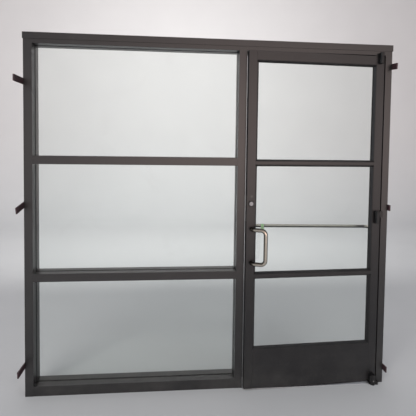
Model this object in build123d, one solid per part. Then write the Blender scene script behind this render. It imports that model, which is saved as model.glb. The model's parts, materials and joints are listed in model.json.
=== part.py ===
from build123d import *
import os

# Glazed aluminium entrance: a fixed sidelight of three panes beside a glass door that
# swings outwards on three offset pivots, all in one frame of hollow extrusions.
# Millimetres. +X runs right as seen from outdoors, +Y goes indoors, +Z is up.
# The origin is on the floor, at the middle of the frame's width and of its depth.

# Frame extrusions
frame_depth = 114.3
wall = 3.2
edge_radius = 1.0
left_jamb_width = 50.8
mullion_width = 50.8
hinge_jamb_width = 44.45
head_height = 60.3
sill_height = 63.5
crossbar_height = 50.8
sidelight_opening = 1265.5
door_opening = 914.4
opening_height = 2184.0
upper_crossbar_centre = 1480.0
lower_crossbar_centre = 749.0

# Channel that takes the top of the frame
receptor_leg = 39.0
receptor_side_gap = 0.3
receptor_top_gap = 2.5

# Sidelight glazing, held by rubber in a groove in each extrusion
glass_thickness = 6.35
groove_depth = 14.0
gasket_thickness = 6.35
glass_bite = 9.5
gasket_lip = 1.2
gasket_root_gap = 1.0
setting_block_length = 100.0
setting_block_share = 0.25

# Blocks that join the cross members to the uprights
joint_block_length = 40.0
joint_block_gap = 0.4

# Door leaf, and the gaps around it
leaf_thickness = 44.45
lock_gap = 4.8
hinge_gap = 4.8
head_gap = 4.8
foot_gap = 3.2
stile_width = 54.0
top_rail_height = 57.15
bottom_rail_height = 254.0
muntin_height = 19.05
leaf_edge_radius = 1.5
upper_muntin_centre = 1476.0
lower_muntin_centre = 751.0

# Snap-in stops and rubber that hold the leaf's glass. Beside the member a stop is flat,
# and then it slopes back towards the glass.
bead_height = 11.1
bead_recess = 2.0
bead_flat = 3.0
bead_slope = 10.0
leaf_gasket_thickness = 3.5
leaf_gasket_lip = 1.5
leaf_glass_bite = 8.0

# Door stops and their brush strips
stop_height = 9.5
stop_depth = 38.1
brush_width = 4.8
brush_length = 3.3
brush_root = 2.4
brush_touch_gap = 0.3
heel_gap = 0.5

# How far a cut runs past the face it opens
over = 1.0

# Threshold
threshold_height = 12.7
threshold_nose = 14.0
threshold_lip = 2.5
threshold_front_slope = 22.0
threshold_back_slope = 22.0
threshold_skin = 3.7
flute_width = 3.0
flute_depth = 1.2
flute_pitch = 9.0

# Offset pivots: the turning axis stands in front of the leaf's outer face
pivot_offset = 19.05
pivot_inset = 30.0
knuckle_radius = 12.7
pin_radius = 6.35
pin_press_gap = 0.02
pin_running_gap = 0.05
knuckle_gap = 0.8
pivot_web = 16.0
strap_gap = 1.2
strap_front = 3.0
jamb_plate_thickness = 2.5
jamb_plate_reach = 32.0
top_pivot_rise = 14.0
top_pivot_split_drop = 12.0
top_pivot_foot_drop = 55.0
head_plate_reach = 40.0
mid_pivot_centre = 1124.0
mid_pivot_height = 83.0
bottom_knuckle_radius = 16.0
bottom_pivot_split = 24.0
bottom_pivot_crown = 68.0
bottom_lobe_width = 44.0
bottom_lobe_round = 17.0
bottom_base_reach = 23.0
bottom_base_gap = 0.3
pin_cover = 3.0
bottom_pin_cover = 9.0
pin_end_gap = 3.0

# Lock in the leaf's narrow stile
lock_height = 1217.0
lock_backset = 28.6
cylinder_radius = 14.4
cylinder_hole_gap = 0.4
cylinder_stand = 6.0
ring_radius = 19.5
ring_thickness = 4.5
ring_bevel = 1.5
plug_radius = 6.5
plug_stand = 0.6
keyway_width = 2.0
keyway_height = 8.0
keyway_depth = 5.0
case_thickness = 20.0
case_wall = 2.0
case_depth = 40.0
case_top = 34.0
case_bottom = 96.0
faceplate_width = 25.4
faceplate_thickness = 3.2
faceplate_top = 50.0
faceplate_bottom = 112.0
faceplate_gap = 0.3
bolt_pivot_drop = 67.0
bolt_pivot_depth = 26.0
bolt_thickness = 9.5
bolt_width = 19.0
bolt_length = 54.0
bolt_tip_round = 4.0
bolt_hook = 5.0
bolt_hook_length = 12.0
bolt_hook_round = 1.5
bolt_pin_radius = 3.0
bolt_pin_gap = 0.05
bolt_side_gap = 0.4
bolt_slot_gap = 1.0
strike_thickness = 1.5
strike_width = 28.0
strike_margin = 22.0
strike_slot_gap = 3.0
strike_box_wall = 1.2
strike_box_depth = 30.0
strike_box_drop = 5.0
strike_box_gap = 0.3
thumb_rose_radius = 19.0
thumb_rose_thickness = 4.0
thumb_shaft_radius = 5.0
thumb_length = 30.0
thumb_width = 9.0
thumb_stand = 20.0
thumb_gap = 2.0
thumb_hole_gap = 1.0

# Pull handle outdoors, and push bar indoors, back to back on one bolt
pull_inset = 33.0
pull_below_lock = 48.0
pull_spacing = 216.0
pull_radius = 12.7
pull_stub = 34.0
pull_sideways = 76.2
pull_projection = 63.5
pull_stub_bend = 26.0
pull_grip_bend = 30.0
push_bar_radius = 11.1
push_bar_projection = 63.5
push_bar_bend = 25.0
push_bar_drop = 17.0
bolt_shank_radius = 4.75
bolt_hole_gap = 0.25
bolt_reach = 18.0
bolt_head_radius = 9.0
bolt_head_height = 4.0

# Rods and blocks inside the rails
tie_rod_radius = 4.75
tie_rod_gap = 0.35
tie_nut_radius = 8.5
tie_nut_height = 7.0
tie_nut_bore_gap = 0.03
tie_rod_end = 4.0
bottom_rod_height = 60.0

# Holes for the screws that fix the jambs to a wall
anchor_radius = 4.0
anchor_middle = 1090.0
anchor_pitch = 540.0
anchor_count = 4

# Wedges driven between the jambs and the wall, thick end outwards
shim_height = 38.0
shim_thick_end = 8.0
shim_thin_end = 2.5
shim_seat = 45.0
left_top_shim_drop = 229.0
right_top_shim_drop = 72.0
left_shim_heights = (1203.0, 198.0)
right_shim_heights = (1186.0, 106.0)
left_shim_stands = (126.0, 104.0, 96.0)
right_shim_stands = (52.0, 22.0, 38.0)

# How far each wedge's thick end hangs down, in degrees
left_shim_tilts = (0.0, 11.0, 2.0)
right_shim_tilts = (6.0, 0.0, 0.0)

# How far the leaf stands open at rest
ajar = 2.5

# Lines across the frame's width
frame_width = left_jamb_width + sidelight_opening + mullion_width + door_opening + hinge_jamb_width
frame_left = -frame_width / 2
sidelight_left = frame_left + left_jamb_width
mullion_left = sidelight_left + sidelight_opening
mullion_right = mullion_left + mullion_width
hinge_face = mullion_right + door_opening
frame_right = hinge_face + hinge_jamb_width

# Lines through the frame's depth and height
front = -frame_depth / 2
back = frame_depth / 2
upright_top = opening_height + head_height
frame_top = upright_top + receptor_top_gap + wall
groove_width = glass_thickness + 2 * gasket_thickness
lower_crossbar_low = lower_crossbar_centre - crossbar_height / 2
lower_crossbar_high = lower_crossbar_centre + crossbar_height / 2
upper_crossbar_low = upper_crossbar_centre - crossbar_height / 2
upper_crossbar_high = upper_crossbar_centre + crossbar_height / 2

# The leaf's own lines, closed
leaf_left = mullion_right + lock_gap
leaf_right = hinge_face - hinge_gap
leaf_bottom = threshold_height + foot_gap
leaf_top = opening_height - head_gap
leaf_back = front + leaf_thickness
leaf_middle = front + leaf_thickness / 2
daylight_left = leaf_left + stile_width
daylight_right = leaf_right - stile_width
axis_x = leaf_right - pivot_inset
axis_y = front - pivot_offset
cylinder_x = leaf_left + lock_backset
bolt_pivot_x = leaf_left + bolt_pivot_depth
bolt_pivot_z = lock_height - bolt_pivot_drop
bolt_slot_low = bolt_pivot_z - bolt_width / 2
bolt_slot_high = bolt_pivot_z + bolt_length
faceplate_low = lock_height - faceplate_bottom
faceplate_high = lock_height + faceplate_top
pull_high = faceplate_low - pull_below_lock
pull_low = pull_high - pull_spacing
push_far_height = pull_high - push_bar_drop
top_pivot_crown = opening_height + top_pivot_rise
top_pivot_split = opening_height - top_pivot_split_drop
top_pivot_foot = opening_height - top_pivot_foot_drop

# The leaf's heel swings indoors a little before it leaves the stop on the hinge side
heel_depth = pivot_offset + leaf_thickness
heel_radius = (pivot_inset ** 2 + heel_depth ** 2) ** 0.5
stop_reach = pivot_inset + hinge_gap - stop_height
heel_travel = (heel_radius ** 2 - stop_reach ** 2) ** 0.5 - heel_depth

os.makedirs("parts", exist_ok=True)


def save(name, *solids):
    """Write one node; several solids stay separate in it."""
    shape = solids[0] if len(solids) == 1 else Compound(children=list(solids))
    export_step(shape, f"parts/{name}.step")


def leaf(shape):
    """Turn a piece of the closed leaf to where it stands at rest."""
    place = Pos(axis_x, axis_y, 0) * Rot(0, 0, ajar) * Pos(-axis_x, -axis_y, 0)
    return place * shape


def save_leaf(name, *solids):
    save(name, *[leaf(solid) for solid in solids])


def block(x0, x1, y0, y1, z0, z1):
    """Box between two corners."""
    return Pos((x0 + x1) / 2, (y0 + y1) / 2, (z0 + z1) / 2) * Box(x1 - x0, y1 - y0, z1 - z0)


def post(x, y, z0, z1, radius):
    """Round bar along Z."""
    return Pos(x, y, (z0 + z1) / 2) * Cylinder(radius, z1 - z0)


def rod_x(x0, x1, y, z, radius):
    """Round bar along X."""
    return Pos((x0 + x1) / 2, y, z) * Rot(0, 90, 0) * Cylinder(radius, x1 - x0)


def rod_y(x, y0, y1, z, radius):
    """Round bar along Y."""
    return Pos(x, (y0 + y1) / 2, z) * Rot(90, 0, 0) * Cylinder(radius, y1 - y0)


def along_x(section, x0, x1):
    """Extrude a section, drawn with Y across and Z up, from x0 to x1."""
    return extrude(Plane(origin=(x0, 0, 0), x_dir=(0, 1, 0), z_dir=(1, 0, 0)) * section, amount=x1 - x0)


def along_y(section, y0, y1):
    """Extrude a section, drawn with X across and Z up, from y0 to y1."""
    return extrude(Plane(origin=(0, y0, 0), x_dir=(1, 0, 0), z_dir=(0, -1, 0)) * section, amount=y0 - y1)


def along_z(section, z0, z1):
    """Extrude a section, drawn in X and Y, from z0 to z1."""
    return extrude(Pos(0, 0, z0) * section, amount=z1 - z0)


def outline(*points):
    """Closed flat shape through the given corners."""
    return make_face(Polyline(*points, close=True))


def frame_section(width, groove_sides=()):
    """Hollow extrusion, width across and frame_depth deep, with a glazing groove on the
    named sides (+1 or -1 across)."""
    metal = RectangleRounded(width, frame_depth, edge_radius)
    hollow = Rectangle(width - 2 * wall, frame_depth - 2 * wall)
    for side in groove_sides:
        sleeve_depth = groove_depth + wall
        sleeve = Rectangle(sleeve_depth, groove_width + 2 * wall)
        hollow -= Pos(side * (width - sleeve_depth) / 2, 0) * sleeve
        metal -= Pos(side * (width - groove_depth) / 2, 0) * Rectangle(groove_depth, groove_width)
    return metal - hollow


def upright(x0, x1, groove_sides=()):
    return along_z(Pos((x0 + x1) / 2, 0) * frame_section(x1 - x0, groove_sides), 0, upright_top)


def cross_member(x0, x1, z0, z1, groove_sides=()):
    section = Rot(0, 0, 90) * frame_section(z1 - z0, groove_sides)
    return along_x(Pos(0, (z0 + z1) / 2) * section, x0, x1)


def anchor_holes(x):
    """Row of screw holes through the jamb wall at x."""
    holes = Part()
    lowest = anchor_middle - (anchor_count - 1) / 2 * anchor_pitch
    for index in range(anchor_count):
        holes += rod_x(x - 2 * wall, x + 2 * wall, 0, lowest + index * anchor_pitch, anchor_radius)
    return holes


def ring(x0, x1, z0, z1, band, y0, y1):
    """Rectangular picture-frame of the given band, its outer edge on the given box."""
    middle = Pos((x0 + x1) / 2, (z0 + z1) / 2)
    flat = middle * Rectangle(x1 - x0, z1 - z0) - middle * Rectangle(x1 - x0 - 2 * band, z1 - z0 - 2 * band)
    return along_y(flat, y0, y1)


# Uprights
left_jamb = upright(frame_left, sidelight_left, (1,)) - anchor_holes(frame_left)
save("left_jamb", left_jamb)


def strike_space(x0, x1, margin, drop=0.0):
    """Space for the thrown bolt, grown by margin on all sides and by drop downwards."""
    reach = bolt_thickness / 2 + strike_slot_gap + margin
    low = bolt_slot_low - strike_slot_gap - drop - margin
    high = bolt_slot_high + strike_slot_gap + margin
    return block(x0, x1, leaf_middle - reach, leaf_middle + reach, low, high)


strike_cutout = strike_space(mullion_right - 2 * wall, mullion_right + wall,
                             strike_box_wall + strike_box_gap, strike_box_drop)
save("centre_mullion", upright(mullion_left, mullion_right, (-1,)) - strike_cutout)

save("hinge_jamb", upright(hinge_face, frame_right) - anchor_holes(frame_right))

# Cross members between the uprights
sill = cross_member(sidelight_left, mullion_left, 0, sill_height, (1,))
save("sidelight_sill", sill)
save("sidelight_head", cross_member(sidelight_left, mullion_left, opening_height, upright_top, (-1,)))
save("door_head", cross_member(mullion_right, hinge_face, opening_height, upright_top))
save("lower_crossbar",
     cross_member(sidelight_left, mullion_left, lower_crossbar_low, lower_crossbar_high, (-1, 1)))
save("upper_crossbar",
     cross_member(sidelight_left, mullion_left, upper_crossbar_low, upper_crossbar_high, (-1, 1)))

# Channel over the top of the frame, with closed ends
receptor_out = frame_depth / 2 + receptor_side_gap + wall
receptor_low = frame_top - receptor_leg
receptor_in = receptor_out - wall
receptor_section = outline((-receptor_out, receptor_low), (-receptor_out, frame_top),
                           (receptor_out, frame_top), (receptor_out, receptor_low),
                           (receptor_in, receptor_low), (receptor_in, frame_top - wall),
                           (-receptor_in, frame_top - wall), (-receptor_in, receptor_low))
receptor_left = frame_left - receptor_side_gap - wall
receptor_right = frame_right + receptor_side_gap + wall
receptor = along_x(receptor_section, receptor_left, receptor_right)
for end in (receptor_left, receptor_right - wall):
    receptor += block(end, end + wall, -receptor_in, receptor_in, receptor_low, frame_top - wall)
save("head_receptor", receptor)

# Joint blocks inside both cells of every cross member, against the uprights
blocks = []
cell_depth = frame_depth / 2 - wall - groove_width / 2 - wall
members = ((sidelight_left, mullion_left, 0, sill_height),
           (sidelight_left, mullion_left, lower_crossbar_low, lower_crossbar_high),
           (sidelight_left, mullion_left, upper_crossbar_low, upper_crossbar_high),
           (sidelight_left, mullion_left, opening_height, upright_top),
           (mullion_right, hinge_face, opening_height, upright_top))
for x0, x1, z0, z1 in members:
    low, high = z0 + wall + joint_block_gap, z1 - wall - joint_block_gap
    for side in (-1, 1):
        near = side * (frame_depth / 2 - wall - joint_block_gap)
        far = side * (frame_depth / 2 - wall - cell_depth + joint_block_gap)
        y0, y1 = min(near, far), max(near, far)
        blocks.append(block(x0, x0 + joint_block_length, y0, y1, low, high))
        blocks.append(block(x1 - joint_block_length, x1, y0, y1, low, high))
save("joint_blocks", *blocks)

# Sidelight panes: glass, a rubber ring on each side, and blocks under the glass
pane_rows = (("lower", sill_height, lower_crossbar_low),
             ("middle", lower_crossbar_high, upper_crossbar_low),
             ("upper", upper_crossbar_high, opening_height))
side_blocks = []
side_rubbers = []
for name, z0, z1 in pane_rows:
    glass = block(sidelight_left - glass_bite, mullion_left + glass_bite, -glass_thickness / 2,
                  glass_thickness / 2, z0 - glass_bite, z1 + glass_bite)
    save(f"sidelight_{name}_glass", glass)
    root = groove_depth - gasket_root_gap
    for side in (-1, 1):
        inner, outer = side * glass_thickness / 2, side * groove_width / 2
        side_rubbers.append(ring(sidelight_left - root, mullion_left + root, z0 - root, z1 + root,
                                 root + gasket_lip, min(inner, outer), max(inner, outer)))
    for share in (setting_block_share, 1 - setting_block_share):
        middle = sidelight_left + share * sidelight_opening
        side_blocks.append(block(middle - setting_block_length / 2, middle + setting_block_length / 2,
                                 -glass_thickness / 2, glass_thickness / 2,
                                 z0 - groove_depth, z0 - glass_bite))
save("sidelight_gaskets", *side_rubbers)
save("sidelight_setting_blocks", *side_blocks)

# Door stops. The brush strip sits in a groove in each stop's front edge.
stop_front = leaf_back + brush_length + brush_touch_gap
hinge_stop_front = leaf_back + heel_travel + heel_gap + brush_length


def stop_and_brush(y_front, place):
    """Stop section lying on y = 0 to stop_height, made into a solid by place."""
    brush = (y_front - brush_length, y_front + brush_root)
    groove = Pos(stop_height / 2, (y_front + brush[1]) / 2) * Rectangle(brush_width, brush_root)
    body = Pos(stop_height / 2, y_front + stop_depth / 2) * Rectangle(stop_height, stop_depth)
    strip = Pos(stop_height / 2, sum(brush) / 2) * Rectangle(brush_width, brush[1] - brush[0])
    return place(body - groove), place(strip)


lock_stop, lock_brush = stop_and_brush(
    stop_front, lambda section: along_z(Pos(mullion_right, 0) * section, threshold_height, opening_height))
hinge_stop, hinge_brush = stop_and_brush(
    hinge_stop_front, lambda section: along_z(Pos(hinge_face, 0) * mirror(section, Plane.YZ),
                                              threshold_height, opening_height))
head_stop, head_brush = stop_and_brush(
    stop_front,
    lambda section: along_x(Pos(0, opening_height) * Rot(0, 0, -90) * section,
                            mullion_right + stop_height, hinge_face - stop_height))
heel_space = block(axis_x - pivot_inset - heel_gap, hinge_face, leaf_back, axis_y + heel_radius + heel_gap,
                   opening_height - 2 * stop_height, opening_height)
head_stop -= heel_space
head_brush -= block(axis_x - pivot_inset - heel_gap, hinge_face, leaf_back, back,
                    opening_height - 2 * stop_height, opening_height)
save("lock_side_stop", lock_stop)
save("hinge_side_stop", hinge_stop)
save("head_stop", head_stop)
save("brush_strips", lock_brush, hinge_brush, head_brush)

# Threshold: a fluted saddle, hollow underneath, notched round the bottom pivot's base
base_left = axis_x - bottom_base_reach
base_back = leaf_back - jamb_plate_thickness
saddle = outline((front - threshold_nose, 0), (front - threshold_nose, threshold_lip),
                 (front - threshold_nose + threshold_front_slope, threshold_height),
                 (back - threshold_back_slope, threshold_height), (back, threshold_lip), (back, 0))
flat_start = front - threshold_nose + threshold_front_slope
flat_length = back - threshold_back_slope - flat_start
flute_count = int(flat_length // flute_pitch) - 1
for index in range(flute_count):
    y = flat_start + (flat_length - (flute_count - 1) * flute_pitch) / 2 + index * flute_pitch
    saddle -= Pos(y, threshold_height - flute_depth / 2) * Rectangle(flute_width, flute_depth)
cavity = (flat_length - threshold_skin) / 2 - threshold_skin / 2
cavity_height = threshold_height - threshold_skin
for centre in (flat_start + cavity / 2, flat_start + flat_length - cavity / 2):
    saddle -= Pos(centre, cavity_height / 2) * Rectangle(cavity, cavity_height)
threshold = along_x(saddle, mullion_right, hinge_face)
threshold -= block(base_left - bottom_base_gap, hinge_face + wall, front - 2 * threshold_nose,
                   base_back + bottom_base_gap, -wall, 2 * threshold_height)
save("threshold", threshold)


# Pivots. Each has a part on the frame, a part on the leaf and a pin on the axis.
def knuckle(z0, z1, radius):
    return post(axis_x, axis_y, z0, z1, radius)


def bored(shape, z0, z1, gap):
    """Cut the pin's hole, with its clearance, between two heights."""
    return shape - post(axis_x, axis_y, z0, z1, pin_radius + gap)


def web(y, z0, z1):
    """Narrow web behind a knuckle, back to the face at y."""
    return block(axis_x - pivot_web / 2, axis_x + pivot_web / 2, axis_y, y, z0, z1)


# Top: a plate under the head carries the upper knuckle on a web against the head's face
head_plate_low = opening_height - jamb_plate_thickness
top_frame = knuckle(top_pivot_split + knuckle_gap / 2, top_pivot_crown, knuckle_radius)
top_frame += web(front, head_plate_low, top_pivot_crown)
top_frame += block(axis_x - head_plate_reach, hinge_face, front, leaf_back - jamb_plate_thickness,
                   head_plate_low, opening_height)
save("top_pivot_frame_part",
     bored(top_frame, top_pivot_split, top_pivot_crown - pin_cover, pin_press_gap))

top_leaf = knuckle(top_pivot_foot, top_pivot_split - knuckle_gap / 2, knuckle_radius)
top_leaf += web(front, top_pivot_foot, top_pivot_split - knuckle_gap / 2)
save_leaf("top_pivot_leaf_part",
          bored(top_leaf, top_pivot_foot + pin_cover, top_pivot_split, pin_running_gap))

# Middle: a plate on the jamb's inner face carries the upper knuckle
mid_top = mid_pivot_centre + mid_pivot_height / 2
mid_foot = mid_pivot_centre - mid_pivot_height / 2
mid_split = mid_pivot_centre + knuckle_gap / 2
strap_y0 = axis_y - strap_front
mid_frame = knuckle(mid_split, mid_top, knuckle_radius)
mid_frame += block(axis_x, hinge_face, strap_y0, front - strap_gap, mid_split, mid_top)
mid_frame += block(hinge_face - jamb_plate_thickness, hinge_face, strap_y0, front + jamb_plate_reach,
                   mid_split, mid_top)
save("mid_pivot_frame_part", bored(mid_frame, mid_pivot_centre, mid_top - pin_cover, pin_press_gap))

mid_leaf = knuckle(mid_foot, mid_pivot_centre - knuckle_gap / 2, knuckle_radius)
mid_leaf += web(front, mid_foot, mid_pivot_centre - knuckle_gap / 2)
save_leaf("mid_pivot_leaf_part", bored(mid_leaf, mid_foot + pin_cover, mid_pivot_centre, pin_running_gap))

# Bottom: a base on the floor, let into the threshold's end, carries the leaf's weight
bottom_frame = knuckle(0, bottom_pivot_split - knuckle_gap / 2, bottom_knuckle_radius)
bottom_frame += block(axis_x, hinge_face, axis_y - bottom_knuckle_radius / 2, front - strap_gap, 0,
                      bottom_pivot_split - knuckle_gap / 2)
bottom_frame += block(base_left, hinge_face, front - strap_gap, base_back, 0, threshold_height)
bottom_frame += block(base_left, axis_x, axis_y, front - strap_gap, 0, threshold_height)
save("bottom_pivot_base", bored(bottom_frame, pin_cover, bottom_pivot_split, pin_press_gap))

lobe_foot = bottom_pivot_split + knuckle_gap / 2
bottom_leaf = knuckle(lobe_foot, bottom_pivot_crown, bottom_knuckle_radius)
bottom_leaf += block(axis_x - bottom_lobe_width / 2, axis_x + bottom_lobe_width / 2,
                     axis_y - bottom_knuckle_radius / 2, front, lobe_foot, bottom_pivot_crown)
lobe = Pos(axis_x, (lobe_foot + bottom_pivot_crown) / 2) * Rectangle(bottom_lobe_width,
                                                                    bottom_pivot_crown - lobe_foot)
lobe = fillet(lobe.vertices().group_by(Axis.Y)[-1], bottom_lobe_round)
bottom_leaf &= along_y(lobe, axis_y - bottom_knuckle_radius, front)
save_leaf("bottom_pivot_leaf_part",
          bored(bottom_leaf, bottom_pivot_split, bottom_pivot_crown - bottom_pin_cover, pin_running_gap))

# Each pin is pressed into the frame's knuckle and ends short of its hole in the leaf's
pin_lift = pin_cover + pin_end_gap
save("pivot_pins",
     post(axis_x, axis_y, top_pivot_foot + pin_lift, top_pivot_crown - pin_cover, pin_radius),
     post(axis_x, axis_y, mid_foot + pin_lift, mid_top - pin_cover, pin_radius),
     post(axis_x, axis_y, pin_cover, bottom_pivot_crown - bottom_pin_cover - pin_end_gap, pin_radius))

# Strike plate on the mullion with its pressed box behind, where the hook bolt goes in. The
# box drops below the slot, so that the hook catches behind the plate.
strike = block(mullion_right, mullion_right + strike_thickness, leaf_middle - strike_width / 2,
               leaf_middle + strike_width / 2, bolt_slot_low - strike_margin, bolt_slot_high + strike_margin)
strike -= strike_space(mullion_right - over, mullion_right + strike_thickness + over, 0)
strike_box = strike_space(mullion_right - strike_box_depth - strike_box_wall, mullion_right, strike_box_wall,
                          strike_box_drop)
strike_box -= strike_space(mullion_right - strike_box_depth, mullion_right + over, 0, strike_box_drop)
save("strike_plate", strike + strike_box)


# Leaf members
def tube_section(width, depth):
    return RectangleRounded(width, depth, leaf_edge_radius) - Rectangle(width - 2 * wall, depth - 2 * wall)


def stile(x0):
    return along_z(Pos(x0 + stile_width / 2, leaf_middle) * tube_section(stile_width, leaf_thickness),
                   leaf_bottom, leaf_top)


def rail(z0, z1):
    section = Pos(leaf_middle, (z0 + z1) / 2) * tube_section(leaf_thickness, z1 - z0)
    return along_x(section, daylight_left, daylight_right)


bottom_rail_top = leaf_bottom + bottom_rail_height
top_rail_bottom = leaf_top - top_rail_height
rod_heights = (leaf_bottom + bottom_rod_height, leaf_top - top_rail_height / 2)
rod_reach = wall + tie_nut_height + tie_rod_end
pull_x = leaf_left + pull_inset
push_far_x = leaf_right - pull_inset

rod_holes = Part()
for z in rod_heights:
    rod_holes += rod_x(daylight_left - 2 * wall, daylight_right + 2 * wall, leaf_middle, z,
                       tie_rod_radius + tie_rod_gap)
pull_holes = Part()
for z in (pull_low, pull_high):
    pull_holes += rod_y(pull_x, front - wall, leaf_back + wall, z, bolt_shank_radius + bolt_hole_gap)
cutout_reach = faceplate_width / 2 + faceplate_gap
lock_cutout = block(leaf_left - wall, leaf_left + 2 * wall,
                    leaf_middle - cutout_reach, leaf_middle + cutout_reach,
                    faceplate_low - faceplate_gap, faceplate_high + faceplate_gap)
cylinder_hole = rod_y(cylinder_x, front - wall, front + 2 * wall, lock_height,
                      cylinder_radius + cylinder_hole_gap)
thumb_hole = rod_y(cylinder_x, leaf_back - 2 * wall, leaf_back + wall, lock_height,
                   thumb_shaft_radius + thumb_hole_gap)
lock_stile = stile(leaf_left) - rod_holes - pull_holes - lock_cutout - cylinder_hole - thumb_hole
save_leaf("lock_stile", lock_stile)

push_hole = rod_y(push_far_x, leaf_back - 2 * wall, leaf_back + wall, push_far_height,
                  bolt_shank_radius + bolt_hole_gap)
save_leaf("hinge_stile", stile(daylight_right) - rod_holes - push_hole)
save_leaf("bottom_rail", rail(leaf_bottom, bottom_rail_top))
save_leaf("top_rail", rail(top_rail_bottom, leaf_top))
for name, centre in (("lower_muntin", lower_muntin_centre), ("upper_muntin", upper_muntin_centre)):
    save_leaf(name, rail(centre - muntin_height / 2, centre + muntin_height / 2))

# Corner blocks in the rails, and the rods and nuts that clamp the leaf together
corner_blocks = []
rods = []
nuts = []
rail_bands = ((leaf_bottom, bottom_rail_top), (top_rail_bottom, leaf_top))
for z, (z0, z1) in zip(rod_heights, rail_bands):
    rods.append(rod_x(daylight_left - rod_reach, daylight_right + rod_reach, leaf_middle, z, tie_rod_radius))
    for x0, x1 in ((daylight_left, daylight_left + joint_block_length),
                   (daylight_right - joint_block_length, daylight_right)):
        corner_block = block(x0, x1, front + wall + joint_block_gap, leaf_back - wall - joint_block_gap,
                             z0 + wall + joint_block_gap, z1 - wall - joint_block_gap)
        corner_blocks.append(corner_block - rod_holes)
    for x in (daylight_left - wall - tie_nut_height, daylight_right + wall):
        hexagon = Pos(leaf_middle, z) * RegularPolygon(tie_nut_radius, 6)
        hexagon -= Pos(leaf_middle, z) * Circle(tie_rod_radius + tie_nut_bore_gap)
        nuts.append(along_x(hexagon, x, x + tie_nut_height))
save_leaf("corner_blocks", *corner_blocks)
save_leaf("tie_rods", *rods)
save_leaf("tie_rod_nuts", *nuts)

# Leaf panes: glass, rubber on both sides, snap-in stops outdoors and indoors, and blocks
glass_edge = bead_height - leaf_glass_bite
bead_back = (leaf_thickness - glass_thickness) / 2 - leaf_gasket_thickness
leaf_panes = (("lower", bottom_rail_top, lower_muntin_centre - muntin_height / 2),
              ("middle", lower_muntin_centre + muntin_height / 2, upper_muntin_centre - muntin_height / 2),
              ("upper", upper_muntin_centre + muntin_height / 2, top_rail_bottom))


def bead_corners(side):
    """Corners of the stop's section: distance from the member that carries it, then depth."""
    face = leaf_middle + side * leaf_thickness / 2
    outer = face - side * bead_recess
    inner = face - side * bead_back
    return [(0, outer), (bead_flat, outer), (bead_height, outer - side * bead_slope), (bead_height, inner),
            (0, inner)]


def beads(side, z0, z1):
    """Four stops round one pane: two along the width, and two uprights between them."""
    corners = bead_corners(side)
    low = outline(*[(y, z0 + s) for s, y in corners])
    high = outline(*[(y, z1 - s) for s, y in corners])
    left = outline(*[(daylight_left + s, y) for s, y in corners])
    right = outline(*[(daylight_right - s, y) for s, y in corners])
    return [along_x(low, daylight_left, daylight_right),
            along_x(high, daylight_left, daylight_right),
            along_z(left, z0 + bead_height, z1 - bead_height),
            along_z(right, z0 + bead_height, z1 - bead_height)]


leaf_blocks = []
leaf_rubbers = []
outer_stops = []
inner_stops = []
for name, z0, z1 in leaf_panes:
    pane = block(daylight_left + glass_edge, daylight_right - glass_edge, leaf_middle - glass_thickness / 2,
                 leaf_middle + glass_thickness / 2, z0 + glass_edge, z1 - glass_edge)
    save_leaf(f"door_{name}_glass", pane)
    for side in (-1, 1):
        inner = leaf_middle + side * glass_thickness / 2
        outer = inner + side * leaf_gasket_thickness
        leaf_rubbers.append(ring(daylight_left + glass_edge, daylight_right - glass_edge, z0 + glass_edge,
                                 z1 - glass_edge, leaf_glass_bite + leaf_gasket_lip, min(inner, outer),
                                 max(inner, outer)))
    outer_stops += beads(-1, z0, z1)
    inner_stops += beads(1, z0, z1)
    for share in (setting_block_share, 1 - setting_block_share):
        middle = daylight_left + share * (daylight_right - daylight_left)
        leaf_blocks.append(block(middle - setting_block_length / 2, middle + setting_block_length / 2,
                                 leaf_middle - glass_thickness / 2, leaf_middle + glass_thickness / 2,
                                 z0, z0 + glass_edge))
save_leaf("door_gaskets", *leaf_rubbers)
save_leaf("outer_glass_stops", *outer_stops)
save_leaf("inner_glass_stops", *inner_stops)
save_leaf("door_setting_blocks", *leaf_blocks)

# Lock case: a thin box, open towards the leaf's edge, closed there by the faceplate
case_x0 = leaf_left + faceplate_thickness
case_x1 = case_x0 + case_depth
case_z0 = lock_height - case_bottom
case_z1 = lock_height + case_top
case_y0 = leaf_middle - case_thickness / 2
case_y1 = leaf_middle + case_thickness / 2
bolt_pin_hole = rod_y(bolt_pivot_x, case_y0 - over, case_y1 + over, bolt_pivot_z,
                      bolt_pin_radius + bolt_pin_gap)
case = block(case_x0, case_x1, case_y0, case_y1, case_z0, case_z1)
case -= block(case_x0 - over, case_x1 - case_wall, case_y0 + case_wall, case_y1 - case_wall,
              case_z0 + case_wall, case_z1 - case_wall)
save_leaf("lock_case", case - bolt_pin_hole)

bolt_slot_reach = bolt_thickness / 2 + bolt_side_gap
bolt_slot = block(leaf_left - over, leaf_left + faceplate_thickness + over,
                  leaf_middle - bolt_slot_reach, leaf_middle + bolt_slot_reach,
                  bolt_slot_low - bolt_slot_gap, bolt_slot_high + bolt_slot_gap)
faceplate = block(leaf_left, leaf_left + faceplate_thickness, leaf_middle - faceplate_width / 2,
                  leaf_middle + faceplate_width / 2, faceplate_low, faceplate_high)
save_leaf("lock_faceplate", faceplate - bolt_slot)
save_leaf("bolt_pin", rod_y(bolt_pivot_x, case_y0, case_y1, bolt_pivot_z, bolt_pin_radius))

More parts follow.
